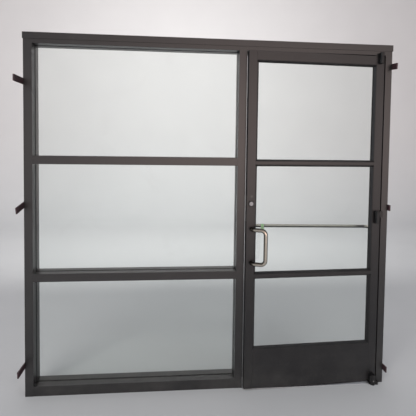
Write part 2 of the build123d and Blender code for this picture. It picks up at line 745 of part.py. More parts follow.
# Hook bolt, drawn back: it stands up from its pin and swings down and out to lock
bolt_blade = Pos(0, bolt_length / 2) * Rectangle(bolt_width, bolt_length)
bolt_blade = fillet(bolt_blade.vertices().group_by(Axis.Y)[-1], bolt_tip_round)
bolt_hook_flat = Pos(-bolt_width / 2, bolt_length - bolt_hook_length) * RectangleRounded(
    2 * bolt_hook, bolt_hook_length, bolt_hook_round)
bolt_flat = Circle(bolt_width / 2) + bolt_blade + bolt_hook_flat
bolt_flat -= Circle(bolt_pin_radius + bolt_pin_gap)
hook_bolt = along_y(Pos(bolt_pivot_x, bolt_pivot_z) * bolt_flat, leaf_middle - bolt_thickness / 2,
                    leaf_middle + bolt_thickness / 2)
save_leaf("hook_bolt", hook_bolt)

# Cylinder with its ring and turning plug outdoors
cylinder_face = front - cylinder_stand
plug_bore = rod_y(cylinder_x, cylinder_face - over, case_y0 - case_wall, lock_height,
                  plug_radius + pin_running_gap)
cylinder = rod_y(cylinder_x, cylinder_face, case_y0, lock_height, cylinder_radius) - plug_bore
save_leaf("lock_cylinder", cylinder)

ring_bore = cylinder_radius + cylinder_hole_gap
ring_outline = outline((ring_bore, 0), (ring_radius, 0), (ring_radius, ring_thickness - ring_bevel),
                       (ring_radius - ring_bevel, ring_thickness), (ring_bore, ring_thickness))
trim_ring = revolve(Plane.XZ * ring_outline, Axis.Z)
save_leaf("cylinder_ring", Pos(cylinder_x, front, lock_height) * Rot(90, 0, 0) * trim_ring)

plug = rod_y(cylinder_x, cylinder_face - plug_stand, case_y0 - case_wall, lock_height, plug_radius)
plug -= block(cylinder_x - keyway_width / 2, cylinder_x + keyway_width / 2,
              cylinder_face - plug_stand - over, cylinder_face + keyway_depth,
              lock_height - keyway_height / 2, lock_height + keyway_height / 2)
save_leaf("key_plug", plug)

# Thumb turn indoors, on its round rose
rose_back = leaf_back + thumb_rose_thickness
rose = rod_y(cylinder_x, leaf_back, rose_back, lock_height, thumb_rose_radius)
save_leaf("thumb_rose", rose - rod_y(cylinder_x, leaf_back - over, rose_back + over, lock_height,
                                     thumb_shaft_radius + pin_running_gap))
paddle = Pos(0, rose_back + (thumb_gap + thumb_stand) / 2) * Rectangle(thumb_width, thumb_stand - thumb_gap)
thumb_turn = rod_y(cylinder_x, case_y1, rose_back + thumb_stand / 2, lock_height, thumb_shaft_radius)
thumb_turn += along_z(Pos(cylinder_x, 0) * fillet(paddle.vertices(), thumb_width / 4),
                      lock_height - thumb_length / 2, lock_height + thumb_length / 2)
save_leaf("thumb_turn", thumb_turn)

# Pull handle: out from the stile, sideways over the glass, down and back
pull_route = FilletPolyline(
    (pull_x, front, pull_high), (pull_x, front - pull_stub, pull_high),
    (pull_x + pull_sideways, front - pull_projection, pull_high),
    (pull_x + pull_sideways, front - pull_projection, pull_low),
    (pull_x, front - pull_stub, pull_low), (pull_x, front, pull_low),
    radius=(pull_stub_bend, pull_grip_bend, pull_grip_bend, pull_stub_bend))
pull_start = Plane(origin=(pull_x, front, pull_high), z_dir=(0, -1, 0))
pull = sweep(pull_start * Circle(pull_radius), path=pull_route)
for z in (pull_low, pull_high):
    pull -= rod_y(pull_x, front - bolt_reach - bolt_hole_gap, front + over, z,
                  bolt_shank_radius + bolt_hole_gap)
save_leaf("pull_handle", pull)

# Push bar: across the leaf indoors from the pull's upper end, a little lower at the hinges
push_route = FilletPolyline(
    (pull_x, leaf_back, pull_high), (pull_x, leaf_back + push_bar_projection, pull_high),
    (push_far_x, leaf_back + push_bar_projection, push_far_height),
    (push_far_x, leaf_back, push_far_height), radius=push_bar_bend)
push_start = Plane(origin=(pull_x, leaf_back, pull_high), z_dir=(0, 1, 0))
push_bar = sweep(push_start * Circle(push_bar_radius), path=push_route)
for x, z in ((pull_x, pull_high), (push_far_x, push_far_height)):
    push_bar -= rod_y(x, leaf_back - over, leaf_back + bolt_reach + bolt_hole_gap, z,
                      bolt_shank_radius + bolt_hole_gap)
save_leaf("push_bar", push_bar)

# Bolts that hold the handles
upper_bolt = rod_y(pull_x, front - bolt_reach, leaf_back + bolt_reach, pull_high, bolt_shank_radius)
lower_bolt = rod_y(pull_x, front - bolt_reach, leaf_back + bolt_head_height, pull_low, bolt_shank_radius)
lower_bolt += rod_y(pull_x, leaf_back, leaf_back + bolt_head_height, pull_low, bolt_head_radius)
far_head = leaf_back - wall - bolt_head_height
far_bolt = rod_y(push_far_x, far_head, leaf_back + bolt_reach, push_far_height, bolt_shank_radius)
far_bolt += rod_y(push_far_x, far_head, leaf_back - wall, push_far_height, bolt_head_radius)
save_leaf("handle_bolts", upper_bolt, lower_bolt, far_bolt)

# Wedges beside the jambs
shims = []
left_heights = (opening_height - left_top_shim_drop, *left_shim_heights)
right_heights = (opening_height - right_top_shim_drop, *right_shim_heights)
for side, face, heights, stands, tilts in (
        (-1, frame_left, left_heights, left_shim_stands, left_shim_tilts),
        (1, frame_right, right_heights, right_shim_stands, right_shim_tilts)):
    for z, stand, tilt in zip(heights, stands, tilts):
        wedge = outline((face, -stand), (face + side * shim_thick_end, -stand),
                        (face + side * shim_thin_end, shim_seat), (face, shim_seat))
        shims.append(Pos(0, front, z) * Rot(tilt, 0, 0) * along_z(wedge, -shim_height / 2, shim_height / 2))
save("wall_shims", *shims)

print("frame", round(frame_width, 2), "x", round(frame_top, 2), "leaf", round(leaf_right - leaf_left, 2),
      "x", round(leaf_top - leaf_bottom, 2), "axis", round(axis_x, 2), round(axis_y, 2),
      "heel travel", round(heel_travel, 2))
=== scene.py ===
import json
import math

import bpy
import numpy as np
from mathutils import Matrix, Vector


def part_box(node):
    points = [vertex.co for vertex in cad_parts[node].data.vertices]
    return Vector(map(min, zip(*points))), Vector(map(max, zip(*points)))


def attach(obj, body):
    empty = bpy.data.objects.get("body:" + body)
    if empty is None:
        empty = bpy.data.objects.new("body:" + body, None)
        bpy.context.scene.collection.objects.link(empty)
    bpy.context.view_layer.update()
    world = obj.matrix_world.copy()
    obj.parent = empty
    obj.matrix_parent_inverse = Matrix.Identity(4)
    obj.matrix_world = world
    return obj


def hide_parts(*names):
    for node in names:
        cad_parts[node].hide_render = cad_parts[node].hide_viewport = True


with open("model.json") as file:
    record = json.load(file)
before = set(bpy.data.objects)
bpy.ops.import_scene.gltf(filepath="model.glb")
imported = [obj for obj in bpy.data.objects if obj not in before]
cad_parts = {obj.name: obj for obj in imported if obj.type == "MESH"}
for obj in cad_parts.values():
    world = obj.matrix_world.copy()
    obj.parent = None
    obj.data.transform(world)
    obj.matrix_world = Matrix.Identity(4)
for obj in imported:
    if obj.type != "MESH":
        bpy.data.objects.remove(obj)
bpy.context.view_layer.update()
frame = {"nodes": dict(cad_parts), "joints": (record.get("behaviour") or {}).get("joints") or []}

# Where things are, read from the frame
swing = next(joint for joint in frame["joints"] if joint["name"] == "door_swing")
pivot = Vector(swing["pos_m"])
closed_turn = math.radians(swing["range_deg"][0])
ajar = -closed_turn
nodes = frame["nodes"]
SIDE_PANES = ["sidelight_lower_glass", "sidelight_middle_glass", "sidelight_upper_glass"]
LEAF_PANES = ["door_lower_glass", "door_middle_glass", "door_upper_glass"]

# The camera, worked out from the photograph's lines
camera_place = (-0.240, -2.423, 1.563)
camera_yaw = math.radians(4.903)
camera_pitch = math.radians(-2.297)
camera_roll = math.radians(0.734)
focal_pixels = 375.0
image_pixels = 416.0
rise_pixels = 44.46
sensor = 36.0

# Two soft bright patches in the surroundings, as direction, half-sizes and colour: a warm one
# behind the camera, which the middle of the frame mirrors, and a cool one to the left
warm_patch = ((0.20, -0.98, 0.03), (0.62, 2.0, 0.36), (3.05, 2.42, 2.22, 1))
cool_patch = ((-0.86, -0.50, 0.05), (0.42, 0.50, 0.35), (1.35, 1.42, 1.50, 1))

# Soft lamps, as name, place, aim, size, power and colour
lamps = (("key", (-3.6, -6.4, 4.8), (0, 0, 1.3), 4.5, 330, (1.0, 0.98, 0.95)),
         ("fill", (4.8, -4.8, 3.0), (0.2, 0, 1.3), 3.0, 60, (0.94, 0.97, 1.0)),
         ("back", (0.0, 2.8, 3.6), (0, 7.0, 2.2), 5.0, 170, (1.0, 0.985, 0.955)))

# Sizes that the node boxes don't give, in metres: handles, rubber, paper tag, lock rim
pull_radius, pull_stub, pull_stub_bend, pull_grip_bend = 0.0127, 0.034, 0.026, 0.030
bar_radius, bar_bend = 0.0111, 0.025
side_lip, leaf_bite, leaf_lip = 0.0012, 0.0080, 0.0015
tag_from_end, tag_width, tag_lift, tag_drop = 0.088, 0.020, 0.00025, 0.018
tag_lean, tag_curl = 0.007, 0.004
collar_inner, collar_rise = 0.0128, 0.0008

# Brush strips: the backing's half width and its front and back in the groove, the pile's
# foot, width, rows and pitch, and how much shorter the head's strip is
backing_half, backing_front, backing_back = 0.0023, 0.0006, 0.0023
pile_foot, pile_width, pile_rows, pile_pitch = 0.0007, 0.0042, 5, 0.0013
head_pile_short = 0.037

# Screws, as radius and rise, and where they sit
plate_screw, floor_screw, pivot_screw = (0.0038, 0.0004), (0.0042, 0.0006), (0.0042, 0.0008)
rose_screw, set_screw = (0.0026, 0.0004), (0.0030, 0.0008)
screw_sink, set_screw_sink, set_screw_in = 0.0002, 0.0003, 0.009
front_screws_y, back_screws_y = -0.036, 0.022
pivot_plate, jamb_plate_inset, strike_inset, faceplate_inset = 0.0025, 0.010, 0.0095, 0.009
head_plate_screws = (0.010, 0.028)
floor_screw_pairs, first_floor_screw, last_floor_screw = 4, 0.06, 0.10
pivot_screw_up, rose_screw_out = 0.004, 0.0125

# Faint round mark on the lock stile, in the frame's own coordinates
smudge_place, smudge_radius = (0.240, 0.0, 1.263), 0.010

# Edges that turn by more than this stay sharp in a smooth piece
sharp_angle = math.radians(35)


def turn_about_pivot(points, angle):
    """Points turned about the upright pivot axis: x' = x cos a - y sin a and
    y' = x sin a + y cos a, measured from the axis."""
    moved = np.array(points, float)
    x, y = moved[..., 0] - pivot.x, moved[..., 1] - pivot.y
    turned_x = x * math.cos(angle) - y * math.sin(angle)
    turned_y = x * math.sin(angle) + y * math.cos(angle)
    moved[..., 0], moved[..., 1] = turned_x + pivot.x, turned_y + pivot.y
    return moved


def closed_box(name):
    """Lowest and highest corner of a leaf node, turned back to the closed door."""
    mesh = nodes[name].data
    points = np.zeros(len(mesh.vertices) * 3)
    mesh.vertices.foreach_get("co", points)
    points = turn_about_pivot(points.reshape(-1, 3), closed_turn)
    return points.min(0), points.max(0)


# Meshes

def make_piece(name, parts, body, finish, smooth=True, on_leaf=False):
    """One object from (points, faces) parts, riding on a body, with its finish. Parts of
    the leaf are drawn on the closed door and turned to where it rests."""
    vertices, faces, start = [], [], 0
    for points, quads in parts:
        flat = np.asarray(points, float).reshape(-1, 3)
        vertices.append(turn_about_pivot(flat, ajar) if on_leaf else flat)
        faces += [tuple(int(i) + start for i in face) for face in quads]
        start += len(flat)
    mesh = bpy.data.meshes.new(name)
    mesh.from_pydata(np.concatenate(vertices).tolist(), [], faces)
    mesh.update()
    if smooth:
        mesh.polygons.foreach_set("use_smooth", np.ones(len(mesh.polygons), bool))
        mesh.set_sharp_from_angle(angle=sharp_angle)
    piece = bpy.data.objects.new(name, mesh)
    bpy.context.scene.collection.objects.link(piece)
    mesh.materials.append(finish)
    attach(piece, body)
    return piece


def grid_faces(rows, columns, wrap_rows=False, wrap_columns=False):
    """Quads of a grid numbered row by row, closed round either way if asked."""
    r = np.arange(rows if wrap_rows else rows - 1)
    c = np.arange(columns if wrap_columns else columns - 1)
    r, c = np.meshgrid(r, c, indexing="ij")
    r2, c2 = (r + 1) % rows, (c + 1) % columns
    quads = np.stack([r * columns + c, r2 * columns + c, r2 * columns + c2, r * columns + c2], -1)
    return [tuple(q) for q in quads.reshape(-1, 4)]


def facing_out(points, faces):
    """The faces turned over if the closed grid they make has a negative volume."""
    flat = np.asarray(points, float).reshape(-1, 3)
    flat = flat - flat.mean(0)
    volume = 0.0
    for face in faces:
        for k in range(1, len(face) - 1):
            a, b, c = flat[face[0]], flat[face[k]], flat[face[k + 1]]
            volume += np.dot(a, np.cross(b, c))
    return faces if volume > 0 else [tuple(reversed(face)) for face in faces]


def capped(points, rows, columns):
    """Grid closed round its columns, with a flat face on its first and last row."""
    faces = grid_faces(rows, columns, wrap_columns=True)
    faces.append(tuple(range(columns - 1, -1, -1)))
    faces.append(tuple(range((rows - 1) * columns, rows * columns)))
    return points, facing_out(points, faces)


def turned_ring(profile, centre, axis, steps=48):
    """A closed profile of (radius, height) points turned into a ring, open in its middle.
    Each point goes to centre + radius (cos a u + sin a v) + height axis, with u and v
    square to the axis."""
    axis = Vector(axis).normalized()
    u = axis.orthogonal().normalized()
    v = axis.cross(u)
    radius, height = np.array(profile, float).T
    a = np.linspace(0, 2 * math.pi, steps, endpoint=False)
    circle = np.cos(a)[:, None] * np.array(u) + np.sin(a)[:, None] * np.array(v)
    points = (np.array(centre) + radius[:, None, None] * circle[None]
              + height[:, None, None] * np.array(axis))
    return points, facing_out(points, grid_faces(len(profile), steps, True, True))


def rounded_route(points, radii, step=math.radians(6)):
    """Straight runs joined by tangent arcs: at each inner corner the arc starts and ends at
    radius * tan(turn / 2) from it, and its points are centre + radius (cos, sin) between."""
    points = [Vector(p) for p in points]
    route = [points[0]]
    for before, corner, after, radius in zip(points, points[1:], points[2:], radii):
        a, b = (before - corner).normalized(), (after - corner).normalized()
        turn = math.pi - a.angle(b)
        reach = radius * math.tan(turn / 2)
        middle = corner + (a + b).normalized() * (radius / math.cos(turn / 2))
        start, end = corner + a * reach - middle, corner + b * reach - middle
        normal = start.cross(end).normalized()
        count = max(2, int(turn / step) + 1)
        route += [middle + Matrix.Rotation(turn * k / count, 3, normal) @ start
                  for k in range(count + 1)]
    route.append(points[-1])
    return np.array(route)


def tube(route, radius, sides):
    """Round tube along a route: a circle square to the path at each point, with its first
    direction carried along from point to point so that it doesn't twist."""
    route = np.asarray(route, float)
    tangent = np.gradient(route, axis=0)
    tangent[0], tangent[-1] = route[1] - route[0], route[-1] - route[-2]
    tangent /= np.linalg.norm(tangent, axis=1)[:, None]
    side = np.array(Vector(tangent[0]).orthogonal().normalized())
    sides_at = []
    for t in tangent:
        side = side - t * side.dot(t)
        side /= np.linalg.norm(side)
        sides_at.append(side)
    u = np.array(sides_at)
    v = np.cross(tangent, u)
    a = np.linspace(0, 2 * math.pi, sides, endpoint=False)
    points = (route[:, None] + radius * (np.cos(a)[None, :, None] * u[:, None]
                                         + np.sin(a)[None, :, None] * v[:, None]))
    return capped(points, len(route), sides)


def mitred_ring(profile, x0, x1, z0, z1, y_sign, y_base=0.0):
    """A profile of (inward, y) points carried round a rectangle with mitred corners: at
    each corner a point lies inward along both sides of the rectangle."""
    inward, depth = np.array(profile, float).T
    corners = np.array([(x0, z0, 1, 1), (x1, z0, -1, 1), (x1, z1, -1, -1), (x0, z1, 1, -1)])
    x = corners[:, 0, None] + corners[:, 2, None] * inward
    z = corners[:, 1, None] + corners[:, 3, None] * inward
    y = np.broadcast_to(y_base + y_sign * depth, x.shape)
    points = np.stack([x, y, z], -1)
    faces = grid_faces(4, len(profile), wrap_rows=True, wrap_columns=True)
    return points, facing_out(points, faces)


def screw_head(centre, normal, radius, rise, recess="cross", turn=0.0, steps=48, rings=14):
    """A screw's head over its seat. On a disc of radius 1, its height is
    rise * (edge + dome * sqrt(1 - r^2) - depth * recess), where the recess goes from 0 to 1
    over a short slope, inside a cross or a hexagon."""
    edge, dome, depth = 0.35, 0.65, 0.55
    normal = Vector(normal).normalized()
    u = normal.orthogonal().normalized()
    v = normal.cross(u)
    first_ring, last_ring = 0.02, 0.96
    r = np.concatenate([np.linspace(first_ring, last_ring, rings - 2), [1.0, 1.0]])
    a = np.linspace(0, 2 * math.pi, steps, endpoint=False)
    rr, aa = np.meshgrid(r, a, indexing="ij")
    x, y = rr * np.cos(aa - turn), rr * np.sin(aa - turn)
    if recess == "cross":
        arm_half, arm_slope, arm_end, end_slope = 0.15, 0.06, 0.62, 0.12
        reach = np.clip((arm_end - rr) / end_slope, 0, 1)
        shape = np.clip((arm_half - np.minimum(abs(x), abs(y))) / arm_slope, 0, 1) * reach
    else:
        key_half, key_slope = 0.42, 0.05
        side = np.max([abs(x * math.cos(t) + y * math.sin(t))
                       for t in (0, math.pi / 3, 2 * math.pi / 3)], axis=0)
        shape = np.clip((key_half - side) / key_slope, 0, 1)
    height = rise * (edge + dome * np.sqrt(np.clip(1 - rr ** 2, 0, 1)) - depth * shape)
    height[-1] = 0.0
    flat = (np.cos(aa)[..., None] * np.array(u) + np.sin(aa)[..., None] * np.array(v)) * radius
    points = np.array(centre) + rr[..., None] * flat + height[..., None] * np.array(normal)
    return capped(points, len(r), steps)


def pile_strip(start, along, length, out, across, rows, height, pitch, seed):
    """A strip of brush pile: thin three-sided blades in rows, each with its foot on the
    backing and its tip leaning a little, at even steps with a small seeded scatter."""
    scatter, lean_share, shortest, blade_share = 0.3, 0.5, 0.9, 0.45
    start, along, out, across = (np.array(v, float) for v in (start, along, out, across))
    random = np.random.default_rng(seed)
    count = int(length / pitch)
    s = (np.arange(count) + 0.5) * pitch
    t = (np.arange(rows) + 0.5) / rows - 0.5
    s, t = np.meshgrid(s, t, indexing="ij")
    s = (s + random.uniform(-scatter, scatter, s.shape) * pitch).ravel()
    t = t.ravel()
    foot = start + s[:, None] * along + t[:, None] * across
    lean = random.uniform(-lean_share, lean_share, (len(s), 2)) * pitch
    tall = height * random.uniform(shortest, 1.0, len(s))
    width = np.linalg.norm(across)
    tip = foot + tall[:, None] * out + lean[:, :1] * along + lean[:, 1:] * across / width
    base = [foot + blade_share * pitch * (math.cos(k) * along + math.sin(k) * across / width)
            for k in (0, 2 * math.pi / 3, 4 * math.pi / 3)]
    points = np.stack([*base, tip], 1)
    first = np.arange(len(s)) * 4
    faces = []
    for a, b, c in ((0, 1, 3), (1, 2, 3), (2, 0, 3), (0, 2, 1)):
        faces += [tuple(f) for f in np.stack([first + a, first + b, first + c], 1)]
    one = points[0]
    volume = np.dot(one[0] - one[3], np.cross(one[1] - one[3], one[2] - one[3]))
    if volume > 0:
        faces = [tuple(reversed(f)) for f in faces]
    return points, faces


# Shader nodes

def feed(tree, inputs, values):
    """Set inputs from {input: socket or value}: a socket is linked, a value is written."""
    for key, value in values.items():
        if isinstance(value, bpy.types.NodeSocket):
            tree.links.new(value, inputs[key])
        else:
            inputs[key].default_value = value


def add(tree, kind, values=None, **settings):
    """A node with its settings and its inputs."""
    node = tree.nodes.new(kind)
    for key, value in settings.items():
        setattr(node, key, value)
    feed(tree, node.inputs, values or {})
    return node


def ramp(tree, factor, low, high, low_value=0.0, high_value=1.0):
    """Map Range from low..high to low_value..high_value, kept inside them."""
    node = add(tree, "ShaderNodeMapRange", {"Value": factor, "From Min": low, "From Max": high,
                                            "To Min": low_value, "To Max": high_value})
    return node.outputs["Result"]


def math_node(tree, operation, a, b):
    return add(tree, "ShaderNodeMath", {0: a, 1: b}, operation=operation).outputs[0]


def vector_math(tree, operation, values, output="Vector"):
    node = add(tree, "ShaderNodeVectorMath", dict(enumerate(values)), operation=operation)
    return node.outputs[output]


def mix_colour(tree, factor, a, b):
    values = {0: factor, 6: a, 7: b}
    return add(tree, "ShaderNodeMix", values, data_type="RGBA").outputs[2]


def noise(tree, place, scale, detail, **others):
    values = {"Vector": place, "Scale": scale, "Detail": detail, **others}
    return add(tree, "ShaderNodeTexNoise", values).outputs["Fac"]


def bump(tree, shader, height, distance, strength=1.0):
    values = {"Height": height, "Distance": distance, "Strength": strength}
    feed(tree, shader.inputs, {"Normal": add(tree, "ShaderNodeBump", values).outputs["Normal"]})


def node_group(name, inputs, outputs):
    """An empty shader node group: a Vector input, further inputs from {name: default} and
    number outputs. Gives the group, its input sockets to read and its output sockets to feed."""
    group = bpy.data.node_groups.new(name, "ShaderNodeTree")
    group.interface.new_socket("Vector", in_out="INPUT", socket_type="NodeSocketVector")
    for socket, value in inputs.items():
        kind = "NodeSocketVector" if isinstance(value, tuple) else "NodeSocketFloat"
        made = group.interface.new_socket(socket, in_out="INPUT", socket_type=kind)
        made.default_value = value
    for socket in outputs:
        group.interface.new_socket(socket, in_out="OUTPUT", socket_type="NodeSocketFloat")
    source, result = group.nodes.new("NodeGroupInput"), group.nodes.new("NodeGroupOutput")
    return group, source.outputs, result.inputs


def drawn_grain_group():
    """Fine lines along an extrusion: noise squeezed across the length and drawn out along
    it. Height is for bump, and Shade is a slow change between light and dark bands."""
    group, source, result = node_group(
        "drawn_grain", {"Fineness": 900.0, "Stretch": (1.0, 1.0, 0.01)}, ["Height", "Shade"])
    slow_share = 0.03
    squeezed = vector_math(group, "MULTIPLY", (source["Vector"], source["Stretch"]))
    fine = noise(group, squeezed, source["Fineness"], 3.0, Roughness=0.6)
    slow = noise(group, squeezed, math_node(group, "MULTIPLY", source["Fineness"], slow_share), 2.0)
    feed(group, result, {"Height": fine, "Shade": ramp(group, slow, 0.3, 0.7)})
    return group


def dust_group():
    """Dust: a cloudy mask, stronger on faces that look up and near the floor."""
    group, source, result = node_group(
        "settled_dust", {"Scale": 9.0, "Foot Height": 0.35, "Amount": 0.5}, ["Mask"])
    least_dust = 0.12
    cloud = noise(group, source["Vector"], source["Scale"], 6.0, Roughness=0.65)
    cloud = ramp(group, cloud, 0.38, 0.72)
    place = add(group, "ShaderNodeSeparateXYZ", {0: source["Vector"]}).outputs
    low = ramp(group, place["Z"], 0.0, source["Foot Height"], 1.0, least_dust)
    normal = add(group, "ShaderNodeNewGeometry").outputs["Normal"]
    facing = add(group, "ShaderNodeSeparateXYZ", {0: normal}).outputs
    up = ramp(group, facing["Z"], 0.3, 0.95)
    masked = math_node(group, "MULTIPLY", cloud, math_node(group, "MAXIMUM", low, up))
    feed(group, result, {"Mask": math_node(group, "MULTIPLY", masked, source["Amount"])})
    return group


def touch_group():
    """Marks of use: faint wipes from a swirled noise, kept to broad areas of a second one."""
    group, source, result = node_group("touch_marks", {"Scale": 30.0, "Amount": 0.5}, ["Mask"])
    broad_scale = 2.3
    wipe = noise(group, source["Vector"], source["Scale"], 4.0, Roughness=0.7, Distortion=1.2)
    broad = noise(group, source["Vector"], broad_scale, 2.0)
    mask = math_node(group, "MULTIPLY", ramp(group, wipe, 0.52, 0.75),
                     ramp(group, broad, 0.42, 0.66))
    feed(group, result, {"Mask": math_node(group, "MULTIPLY", mask, source["Amount"])})
    return group


DRAWN, DUST, TOUCH = drawn_grain_group(), dust_group(), touch_group()


# Materials. Each pair of colours is a darker and a lighter tone that noise mixes.

def material(name):
    """A new material with its tree, its Principled shader and its Object coordinates."""
    made = bpy.data.materials.new(name)
    made.use_nodes = True
    tree = made.node_tree
    place = add(tree, "ShaderNodeTexCoord").outputs["Object"]
    return made, tree, tree.nodes["Principled BSDF"], place


def lines_along(tree, place, turn, fineness, stretch):
    """Drawn lines along the stretch, turned with the leaf about the upright axis."""
    straight = add(tree, "ShaderNodeMapping", {"Vector": place, "Rotation": (0, 0, turn)})
    values = {"Vector": straight.outputs[0], "Fineness": fineness, "Stretch": stretch}
    return add(tree, "ShaderNodeGroup", values, node_tree=DRAWN).outputs


def touched(tree, place, scale, amount):
    values = {"Vector": place, "Scale": scale, "Amount": amount}
    return add(tree, "ShaderNodeGroup", values, node_tree=TOUCH).outputs["Mask"]


def dusty(tree, place, scale, foot_height, amount):
    values = {"Vector": place, "Scale": scale, "Foot Height": foot_height, "Amount": amount}
    return add(tree, "ShaderNodeGroup", values, node_tree=DUST).outputs["Mask"]


def smudge_mask(tree, place):
    """A faint round spot with a ragged edge, the same at every depth."""
    strongest = 0.08
    flat = vector_math(tree, "MULTIPLY", (place, (1.0, 0.0, 1.0)))
    away = vector_math(tree, "DISTANCE", (flat, smudge_place), "Value")
    ragged = ramp(tree, noise(tree, place, 240.0, 3.0), 0.3, 0.7,
                  -0.1 * smudge_radius, 0.2 * smudge_radius)
    away = math_node(tree, "ADD", away, ragged)
    return ramp(tree, away, 0.55 * smudge_radius, 1.1 * smudge_radius, strongest, 0.0)


def extrusion_material(name, stretch, dark, light, shine, rough=0.34, turn=0.0, smudge=False):
    """Dark anodised aluminium: drawn lines along the length, slow bands, touch and dust. The
    lock stile also has a smudge."""
    fineness, grain, touch_share = 700.0, 0.00002, 0.18
    touched_tone, dust_tone = (0.10, 0.095, 0.09, 1), (0.20, 0.19, 0.175, 1)
    smudge_tone = (0.42, 0.41, 0.40, 1)
    made, tree, shader, place = material(name)
    lines = lines_along(tree, place, turn, fineness, stretch)
    marks = touched(tree, place, 26.0, 0.6)
    haze = dusty(tree, place, 7.0, 0.30, 0.12)
    colour = mix_colour(tree, lines["Shade"], dark, light)
    colour = mix_colour(tree, math_node(tree, "MULTIPLY", marks, touch_share), colour,
                        touched_tone)
    colour = mix_colour(tree, haze, colour, dust_tone)
    if smudge:
        colour = mix_colour(tree, smudge_mask(tree, place), colour, smudge_tone)
    wear = math_node(tree, "ADD", math_node(tree, "MULTIPLY", marks, 0.12),
                     math_node(tree, "MULTIPLY", haze, 0.5))
    base = math_node(tree, "ADD", math_node(tree, "MULTIPLY", lines["Height"], 0.10), rough - 0.05)
    feed(tree, shader.inputs, {"Base Color": colour, "Specular IOR Level": shine,
                               "Roughness": math_node(tree, "ADD", base, wear)})
    bump(tree, shader, lines["Height"], grain)
    return made


def painted_material(name, dark, light, rough):
    """Paint or paper: a cloudy tone, fine orange peel and paler marks of use."""
    orange_peel, touch_share, touched_tone = 0.00006, 0.3, (0.14, 0.13, 0.125, 1)
    made, tree, shader, place = material(name)
    cloud = noise(tree, place, 60.0, 4.0)
    marks = touched(tree, place, 90.0, 0.8)
    colour = mix_colour(tree, ramp(tree, cloud, 0.35, 0.65), dark, light)
    colour = mix_colour(tree, math_node(tree, "MULTIPLY", marks, touch_share), colour,
                        touched_tone)
    feed(tree, shader.inputs, {"Base Color": colour, "Roughness": ramp(
        tree, cloud, 0.3, 0.7, rough - 0.06, rough + 0.08)})
    bump(tree, shader, noise(tree, place, 900.0, 2.0), orange_peel)
    return made


def metal_material(name, dark, light, rough, stretch, fineness=1400.0, grain=0.00001, turn=0.0,
                   tarnish=0.25, patina_and_shade=None, worn_and_highlit_side=("Y", -0.70, -0.93)):
    """Bare metal: brushed lines along one direction, with dull patches. A dark patina is left
    except on one side, given by one part of the surface's normal and its two ends. The bright
    side is partly wear and partly a painted highlight, and the patina partly painted shade."""
    tarnish_share = 0.45
    made, tree, shader, place = material(name)
    lines = lines_along(tree, place, turn, fineness, stretch)
    marks = touched(tree, place, 45.0, 0.9)
    colour = mix_colour(tree, lines["Shade"], dark, light)
    colour = mix_colour(tree, math_node(tree, "MULTIPLY", marks, tarnish), colour,
                        tuple(tarnish_share * c for c in dark[:3]) + (1,))
    # Painted highlight and shade: the side left bright stands for a highlight as well as wear, and
    # the patina on the other sides for shade as well as age
    if patina_and_shade:
        way, start, full = worn_and_highlit_side
        facing = add(tree, "ShaderNodeTexCoord").outputs["Normal"]
        facing = add(tree, "ShaderNodeSeparateXYZ", {0: facing}).outputs[way]
        worn_and_highlit = math_node(tree, "SUBTRACT", ramp(tree, facing, start, full),
                           math_node(tree, "MULTIPLY", marks, 0.2))
        colour = mix_colour(tree, math_node(tree, "MAXIMUM", worn_and_highlit, 0.0), patina_and_shade, colour)
    rough_lines = math_node(tree, "MULTIPLY", lines["Height"], 0.12)
    rough_marks = math_node(tree, "MULTIPLY", marks, 0.2)
    wear = math_node(tree, "ADD", rough_lines, rough_marks)
    feed(tree, shader.inputs, {"Metallic": 1.0, "Base Color": colour,
                               "Roughness": math_node(tree, "ADD", wear, rough - 0.06)})
    bump(tree, shader, lines["Height"], grain)
    return made


def glass_material():
    """Clear float glass: faint green body, slow waves in its surface and thin wiped smears,
    which are a little less clear. Lamps shine through it, so it casts hardly any shadow."""
    clear, smeared, shadow = (0.925, 0.955, 0.940, 1), (0.82, 0.83, 0.82, 1), (0.90, 0.93, 0.91, 1)
    made, tree, shader, place = material("clear_float_glass")
    colour = mix_colour(tree, touched(tree, place, 7.0, 0.35), clear, smeared)
    feed(tree, shader.inputs, {"Transmission Weight": 1.0, "IOR": 1.5, "Roughness": 0.0,
                               "Base Color": colour})
    bump(tree, shader, noise(tree, place, 2.2, 0.0), 0.0002, 0.2)
    path = add(tree, "ShaderNodeLightPath").outputs
    see_through = add(tree, "ShaderNodeBsdfTransparent", {"Color": shadow}).outputs[0]
    mixed = add(tree, "ShaderNodeMixShader", {0: path["Is Shadow Ray"], 1: shader.outputs[0],
                                              2: see_through})
    feed(tree, tree.nodes["Material Output"].inputs, {"Surface": mixed.outputs[0]})
    return made


def rubber_material():
    """Matt black rubber: a fine mottle, and dust on top and near the floor."""
    dark, light = (0.010, 0.010, 0.011, 1), (0.020, 0.020, 0.021, 1)
    dust_tone = (0.12, 0.115, 0.105, 1)
    made, tree, shader, place = material("black_rubber")
    mottle = noise(tree, place, 350.0, 4.0)
    colour = mix_colour(tree, mottle, dark, light)
    colour = mix_colour(tree, dusty(tree, place, 20.0, 0.2, 0.3), colour, dust_tone)
    feed(tree, shader.inputs, {"Base Color": colour,
                               "Roughness": ramp(tree, mottle, 0.3, 0.7, 0.5, 0.72)})
    bump(tree, shader, mottle, 0.00004)
    return made


def pile_material():
    """Grey brush pile: a fine change of tone from blade to blade, with a soft sheen."""
    dark, light = (0.020, 0.020, 0.021, 1), (0.060, 0.058, 0.056, 1)
    made, tree, shader, place = material("grey_pile")
    mottle = noise(tree, place, 500.0, 3.0)
    feed(tree, shader.inputs, {"Base Color": mix_colour(tree, mottle, dark, light),
                               "Roughness": ramp(tree, mottle, 0.3, 0.7, 0.75, 0.95),
                               "Sheen Weight": 0.35})
    return made


